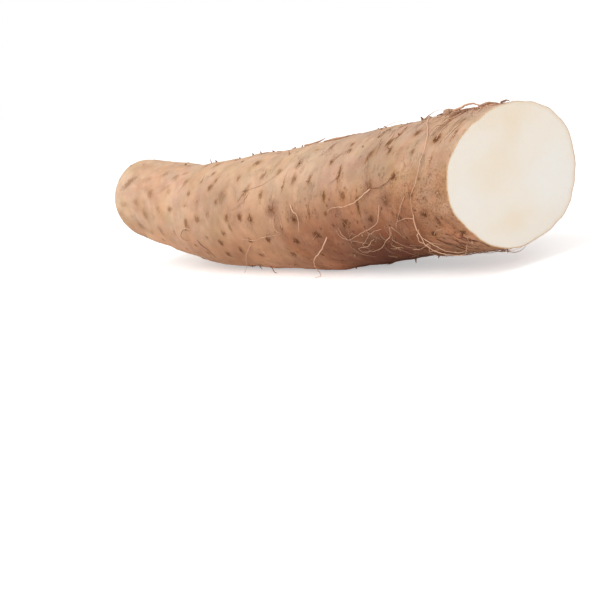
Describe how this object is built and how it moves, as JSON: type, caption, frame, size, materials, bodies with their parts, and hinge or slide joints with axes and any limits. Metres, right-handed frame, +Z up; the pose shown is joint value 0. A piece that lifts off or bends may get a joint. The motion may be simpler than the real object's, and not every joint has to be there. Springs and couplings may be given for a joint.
{
  "type": "yam",
  "caption": "Long end piece of a yam lying on its side: one blunt grown end, one flat cut face, tan hairy skin and white flesh.",
  "frame": {"origin": "on the surface that the yam lies on, at the middle of its bounding box seen from above", "axes": "+X along the yam from the grown nose to the cut face, +Y across it, +Z up"},
  "size_m": [0.309, 0.0624, 0.0682],
  "materials": {
    "skin": "dry thin tan skin with fine rings, brown root scars and a faint waxy sheen",
    "flesh": "moist off-white cut flesh, fine grained, with a thin yellowish rim under the skin",
    "rootlet": "dry wiry hair roots, light brown to dark brown"
  },
  "bodies": {
    "root": {"tuber": "skin"}
  },
  "joints": []
}
